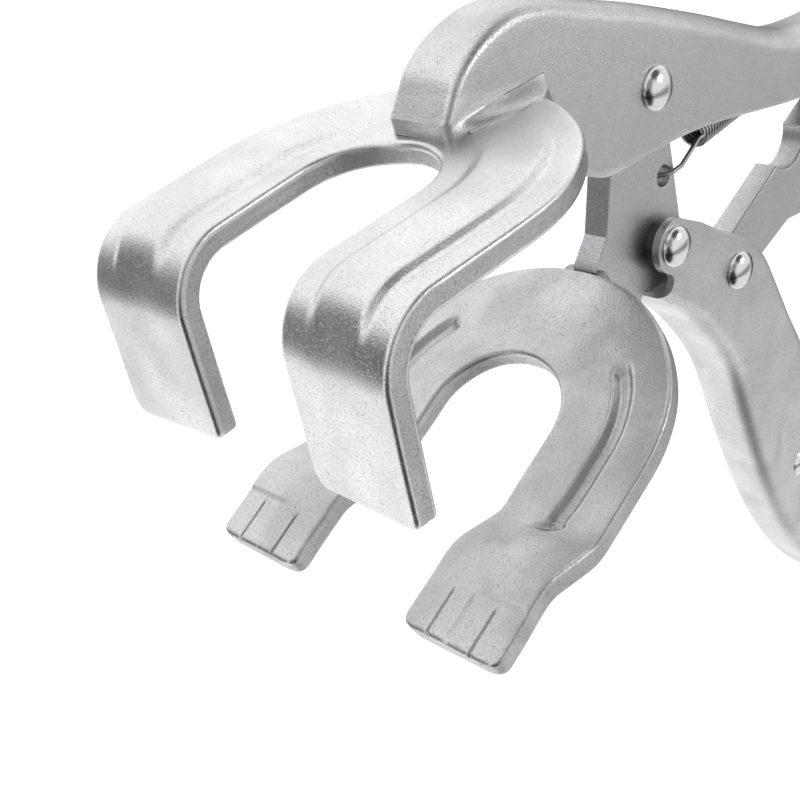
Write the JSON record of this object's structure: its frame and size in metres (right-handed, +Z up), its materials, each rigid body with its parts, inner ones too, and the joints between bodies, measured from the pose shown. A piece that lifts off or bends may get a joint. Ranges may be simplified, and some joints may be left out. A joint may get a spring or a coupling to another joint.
{
  "type": "locking welding clamp pliers",
  "caption": "Locking pliers for welding with a horseshoe jaw above and below, a toggle link, a spring, a release lever and an adjusting screw.",
  "frame": {"origin": "middle of the outline seen from above, on the surface the pliers lie on", "axes": "+X points forward to the jaws, +Y from the upper handle to the lower handle, +Z up; the pliers lie on their far side with the jaws open, so the pivots stand upright"},
  "size_m": [0.2385, 0.1827, 0.0674],
  "materials": {
    "steel": "bright zinc or satin nickel plated steel",
    "dark_steel": "bare or lightly plated steel",
    "spring_steel": "drawn spring wire"
  },
  "bodies": {
    "fixed_half": {"upper_handle": "steel", "upper_jaw": "steel", "upper_jaw_weld_near": "dark_steel", "upper_jaw_weld_far": "dark_steel", "jaw_pivot_rivet": "dark_steel", "jaw_pivot_washer_near": "dark_steel", "jaw_pivot_washer_far": "dark_steel"},
    "moving_jaw": {"lower_jaw_arm": "steel", "lower_jaw": "steel", "lower_jaw_weld": "dark_steel", "handle_pivot_rivet": "dark_steel", "handle_pivot_washer_near": "dark_steel", "handle_pivot_washer_far": "dark_steel"},
    "moving_handle": {"lower_handle": "steel", "link_pivot_rivet": "dark_steel", "link_pivot_washer_near": "dark_steel", "link_pivot_washer_far": "dark_steel", "release_lever_pin": "dark_steel"},
    "link": {"toggle_link": "steel"},
    "lever": {"release_lever": "steel"},
    "screw": {"adjusting_screw": "dark_steel"},
    "coil": {"spring": "spring_steel"}
  },
  "joints": [
    {"name": "jaw_swing", "type": "hinge", "parent": "fixed_half", "child": "moving_jaw", "pos_m": [0.02364, -0.06526, 0.02494], "axis": [0.1204, 0.0232, -0.9925], "range_deg": [0, 17.4], "stiffness_Nm_per_rad": 0.17, "springref_deg": -28.65},
    {"name": "handle_swing", "type": "hinge", "parent": "moving_jaw", "child": "moving_handle", "pos_m": [0.02394, -0.03497, 0.02568], "axis": [-0.1204, -0.0232, 0.9925], "range_deg": [0, 61.29]},
    {"name": "link_swing", "type": "hinge", "parent": "moving_handle", "child": "link", "pos_m": [0.00498, -0.0193, 0.02375], "axis": [0.1204, 0.0232, -0.9925], "range_deg": [0, 57.77]},
    {"name": "spring_swing", "type": "hinge", "parent": "moving_jaw", "child": "coil", "pos_m": [0.01996, -0.04655, 0.02493], "axis": [-0.1204, -0.0232, 0.9925], "range_deg": [0, 17.45], "deforming": ["spring"]},
    {"name": "release_lever_press", "type": "hinge", "parent": "moving_handle", "child": "lever", "pos_m": [-0.01205, 0.04131, 0.0231], "axis": [-0.1204, -0.0232, 0.9925], "range_deg": [0, 8]},
    {"name": "screw_travel", "type": "slide", "parent": "fixed_half", "child": "screw", "axis": [-0.9903, 0.0725, -0.1185], "range_m": [0, 0.012]}
  ],
  "couplings": [
    {"joint": "handle_swing", "follows": "jaw_swing", "ratio": 3.5193},
    {"joint": "link_swing", "follows": "jaw_swing", "ratio": 3.317},
    {"joint": "spring_swing", "follows": "jaw_swing", "ratio": 1}
  ]
}
